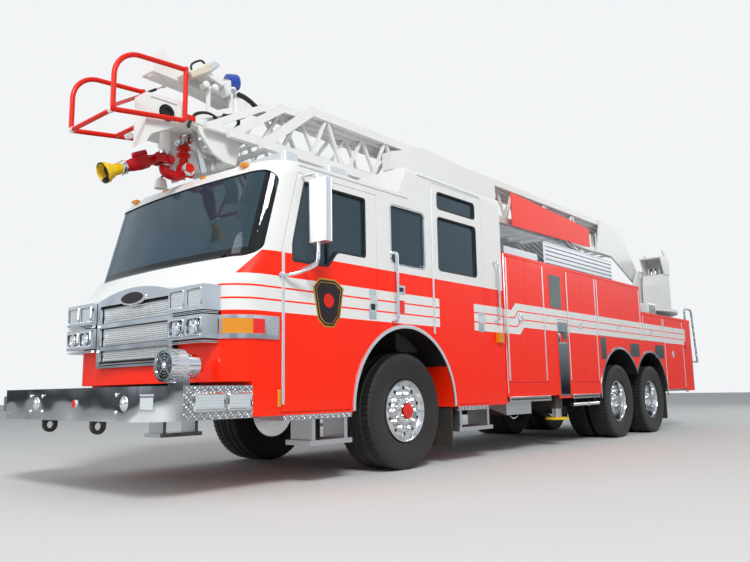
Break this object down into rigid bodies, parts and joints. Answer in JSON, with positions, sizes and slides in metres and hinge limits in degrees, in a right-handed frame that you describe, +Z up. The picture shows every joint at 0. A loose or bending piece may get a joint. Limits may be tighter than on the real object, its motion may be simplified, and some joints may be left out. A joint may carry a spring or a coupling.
{
  "type": "fire engine",
  "caption": "Rear-mount aerial ladder fire engine with forward crew cab, locker body, outriggers and a telescoping ladder with water monitor",
  "frame": {"origin": "on the ground, in the middle of the vehicle's length and width", "axes": "X points forward along the vehicle, Y to its left, Z up"},
  "size_m": [11.9898, 3.11, 3.838],
  "materials": {
    "cab_paint": "gloss two-tone paint, orange red and white",
    "red_paint": "gloss paint",
    "white_paint": "gloss paint",
    "black_paint": "satin paint",
    "frame_paint": "satin chassis paint",
    "polished_steel": "polished",
    "tread_plate": "bright tread plate",
    "glass": "tinted",
    "dark_trim": "matt",
    "seat_cloth": "woven",
    "engine_iron": "as cast",
    "tyre_rubber": "moulded rubber",
    "ladder_metal": "brushed",
    "lamp_plastic": "clear coloured",
    "rod_steel": "ground",
    "nozzle_yellow": "gloss paint"
  },
  "bodies": {
    "chassis": {"frame": "frame_paint", "engine": "engine_iron", "axles": "black_paint", "underbody": "black_paint", "cab": "cab_paint", "cab_interior": "seat_cloth", "cab_glass": "glass", "grille": "polished_steel", "headlamps": "polished_steel", "bumper": "polished_steel", "roof_lights": "lamp_plastic", "steps": "tread_plate", "body": "red_paint", "top_lockers": "tread_plate", "bright_trim": "polished_steel", "pedestal": "white_paint", "ladder_cradle": "white_paint"},
    "knuckle_left": {"knuckle_left": "black_paint"},
    "front_wheel_left": {"front_wheel_left": "tyre_rubber"},
    "knuckle_right": {"knuckle_right": "black_paint"},
    "front_wheel_right": {"front_wheel_right": "tyre_rubber"},
    "rear_wheel_1_left": {"rear_wheel_1_left": "tyre_rubber"},
    "rear_wheel_1_right": {"rear_wheel_1_right": "tyre_rubber"},
    "rear_wheel_2_left": {"rear_wheel_2_left": "tyre_rubber"},
    "rear_wheel_2_right": {"rear_wheel_2_right": "tyre_rubber"},
    "front_door_left": {"front_door_left": "cab_paint", "front_door_glass_left": "glass"},
    "crew_door_left": {"crew_door_left": "cab_paint", "crew_door_glass_left": "glass"},
    "locker_door_a_left": {"locker_door_a_left": "red_paint"},
    "locker_door_b_left": {"locker_door_b_left": "red_paint"},
    "locker_door_c_left": {"locker_door_c_left": "red_paint"},
    "locker_door_d_left": {"locker_door_d_left": "red_paint"},
    "locker_door_e_left": {"locker_door_e_left": "red_paint"},
    "front_door_right": {"front_door_right": "cab_paint", "front_door_glass_right": "glass"},
    "crew_door_right": {"crew_door_right": "cab_paint", "crew_door_glass_right": "glass"},
    "locker_door_a_right": {"locker_door_a_right": "red_paint"},
    "locker_door_b_right": {"locker_door_b_right": "red_paint"},
    "locker_door_c_right": {"locker_door_c_right": "red_paint"},
    "locker_door_d_right": {"locker_door_d_right": "red_paint"},
    "locker_door_e_right": {"locker_door_e_right": "red_paint"},
    "outrigger_left": {"outrigger_left": "red_paint"},
    "jack_left": {"jack_leg_left": "rod_steel"},
    "outrigger_right": {"outrigger_right": "red_paint"},
    "jack_right": {"jack_leg_right": "rod_steel"},
    "turntable": {"turntable": "white_paint", "control_console": "white_paint"},
    "ladder_base": {"ladder_base": "ladder_metal", "sign_boards": "red_paint"},
    "ladder_mid_outer": {"ladder_mid_outer": "ladder_metal"},
    "ladder_mid_inner": {"ladder_mid_inner": "ladder_metal"},
    "ladder_fly": {"ladder_fly": "ladder_metal", "egress_rails": "red_paint"},
    "monitor": {"monitor": "red_paint"},
    "nozzle": {"nozzle": "nozzle_yellow"},
    "lift_barrels": {"lift_barrels": "white_paint"},
    "lift_rods": {"lift_rods": "rod_steel"}
  },
  "joints": [
    {"name": "steer_left", "type": "hinge", "parent": "chassis", "child": "knuckle_left", "pos_m": [3.17, 0.8, 0.5615], "axis": [0, 0, 1], "range_deg": [-35, 35]},
    {"name": "front_wheel_left_spin", "type": "hinge", "parent": "knuckle_left", "child": "front_wheel_left", "pos_m": [3.17, 0.982, 0.5615], "axis": [0, 1, 0], "continuous": true},
    {"name": "steer_right", "type": "hinge", "parent": "chassis", "child": "knuckle_right", "pos_m": [3.17, -0.8, 0.5615], "axis": [0, 0, 1], "range_deg": [-35, 35]},
    {"name": "front_wheel_right_spin", "type": "hinge", "parent": "knuckle_right", "child": "front_wheel_right", "pos_m": [3.17, -0.982, 0.5615], "axis": [0, 1, 0], "continuous": true},
    {"name": "rear_wheel_1_left_spin", "type": "hinge", "parent": "chassis", "child": "rear_wheel_1_left", "pos_m": [-2, 0.895, 0.542], "axis": [0, 1, 0], "continuous": true},
    {"name": "rear_wheel_1_right_spin", "type": "hinge", "parent": "chassis", "child": "rear_wheel_1_right", "pos_m": [-2, -0.895, 0.542], "axis": [0, 1, 0], "continuous": true},
    {"name": "rear_wheel_2_left_spin", "type": "hinge", "parent": "chassis", "child": "rear_wheel_2_left", "pos_m": [-3.36, 0.895, 0.542], "axis": [0, 1, 0], "continuous": true},
    {"name": "rear_wheel_2_right_spin", "type": "hinge", "parent": "chassis", "child": "rear_wheel_2_right", "pos_m": [-3.36, -0.895, 0.542], "axis": [0, 1, 0], "continuous": true},
    {"name": "front_door_left_swing", "type": "hinge", "parent": "chassis", "child": "front_door_left", "pos_m": [4.8435, 1.2563, 1.3], "axis": [0, 0, -1], "range_deg": [0, 75]},
    {"name": "crew_door_left_swing", "type": "hinge", "parent": "chassis", "child": "crew_door_left", "pos_m": [2.7665, 1.2563, 2], "axis": [0, 0, -1], "range_deg": [0, 80]},
    {"name": "locker_door_a_left_swing", "type": "hinge", "parent": "chassis", "child": "locker_door_a_left", "pos_m": [1.2925, 1.2563, 1.7], "axis": [0, 0, -1], "range_deg": [0, 90]},
    {"name": "locker_door_b_left_swing", "type": "hinge", "parent": "chassis", "child": "locker_door_b_left", "pos_m": [-0.3025, 1.2563, 1.7], "axis": [0, 0, -1], "range_deg": [0, 90]},
    {"name": "locker_door_c_left_swing", "type": "hinge", "parent": "chassis", "child": "locker_door_c_left", "pos_m": [-1.2825, 1.2563, 1.7], "axis": [0, 0, -1], "range_deg": [0, 90]},
    {"name": "locker_door_d_left_swing", "type": "hinge", "parent": "chassis", "child": "locker_door_d_left", "pos_m": [-3.0275, 1.2563, 1.7], "axis": [0, 0, -1], "range_deg": [0, 90]},
    {"name": "locker_door_e_left_swing", "type": "hinge", "parent": "chassis", "child": "locker_door_e_left", "pos_m": [-3.9975, 1.2563, 1.7], "axis": [0, 0, -1], "range_deg": [0, 90]},
    {"name": "front_door_right_swing", "type": "hinge", "parent": "chassis", "child": "front_door_right", "pos_m": [4.8435, -1.2563, 1.3], "axis": [0, 0, 1], "range_deg": [0, 75]},
    {"name": "crew_door_right_swing", "type": "hinge", "parent": "chassis", "child": "crew_door_right", "pos_m": [2.7665, -1.2563, 2], "axis": [0, 0, 1], "range_deg": [0, 80]},
    {"name": "locker_door_a_right_swing", "type": "hinge", "parent": "chassis", "child": "locker_door_a_right", "pos_m": [1.2925, -1.2563, 1.7], "axis": [0, 0, 1], "range_deg": [0, 90]},
    {"name": "locker_door_b_right_swing", "type": "hinge", "parent": "chassis", "child": "locker_door_b_right", "pos_m": [-0.3025, -1.2563, 1.7], "axis": [0, 0, 1], "range_deg": [0, 90]},
    {"name": "locker_door_c_right_swing", "type": "hinge", "parent": "chassis", "child": "locker_door_c_right", "pos_m": [-1.2825, -1.2563, 1.7], "axis": [0, 0, 1], "range_deg": [0, 90]},
    {"name": "locker_door_d_right_swing", "type": "hinge", "parent": "chassis", "child": "locker_door_d_right", "pos_m": [-3.0275, -1.2563, 1.7], "axis": [0, 0, 1], "range_deg": [0, 90]},
    {"name": "locker_door_e_right_swing", "type": "hinge", "parent": "chassis", "child": "locker_door_e_right", "pos_m": [-3.9975, -1.2563, 1.7], "axis": [0, 0, 1], "range_deg": [0, 90]},
    {"name": "outrigger_left_slide", "type": "slide", "parent": "chassis", "child": "outrigger_left", "axis": [0, 1, 0], "range_m": [0, 1.15]},
    {"name": "jack_left_slide", "type": "slide", "parent": "outrigger_left", "child": "jack_left", "axis": [0, 0, -1], "range_m": [0, 0.34]},
    {"name": "outrigger_right_slide", "type": "slide", "parent": "chassis", "child": "outrigger_right", "axis": [0, -1, 0], "range_m": [0, 1.15]},
    {"name": "jack_right_slide", "type": "slide", "parent": "outrigger_right", "child": "jack_right", "axis": [0, 0, -1], "range_m": [0, 0.34]},
    {"name": "turntable_turn", "type": "hinge", "parent": "chassis", "child": "turntable", "pos_m": [-4.38, 0, 2.05], "axis": [0, 0, 1], "continuous": true},
    {"name": "ladder_raise", "type": "hinge", "parent": "turntable", "child": "ladder_base", "pos_m": [-4.68, 0, 2.8], "axis": [0, -1, 0], "range_deg": [0, 75]},
    {"name": "lift_barrels_swing", "type": "hinge", "parent": "turntable", "child": "lift_barrels", "pos_m": [-3.73, 0, 2.42], "axis": [0, -1, 0], "range_deg": [0, 79.82]},
    {"name": "lift_rods_slide", "type": "slide", "parent": "lift_barrels", "child": "lift_rods", "axis": [0.9578, 0, 0.2873], "range_m": [0, 1.2218]},
    {"name": "ladder_extend", "type": "slide", "parent": "ladder_base", "child": "ladder_mid_outer", "axis": [1, 0, 0], "range_m": [0, 7]},
    {"name": "ladder_extend_2", "type": "slide", "parent": "ladder_mid_outer", "child": "ladder_mid_inner", "axis": [1, 0, 0], "range_m": [0, 7]},
    {"name": "ladder_extend_3", "type": "slide", "parent": "ladder_mid_inner", "child": "ladder_fly", "axis": [1, 0, 0], "range_m": [0, 7]},
    {"name": "monitor_swivel", "type": "hinge", "parent": "ladder_fly", "child": "monitor", "pos_m": [5.17, 0, 2.975], "axis": [0, 0, 1], "range_deg": [-90, 90]},
    {"name": "nozzle_tilt", "type": "hinge", "parent": "monitor", "child": "nozzle", "pos_m": [5.27, 0, 2.889], "axis": [0, 1, 0], "range_deg": [-60, 45]}
  ],
  "couplings": [
    {"joint": "steer_right", "follows": "steer_left", "ratio": 1},
    {"joint": "lift_barrels_swing", "follows": "ladder_raise", "ratio": 1.0636},
    {"joint": "lift_rods_slide", "follows": "ladder_raise", "m_per_rad": 0.93301},
    {"joint": "ladder_extend_2", "follows": "ladder_extend", "ratio": 1},
    {"joint": "ladder_extend_3", "follows": "ladder_extend", "ratio": 1}
  ]
}
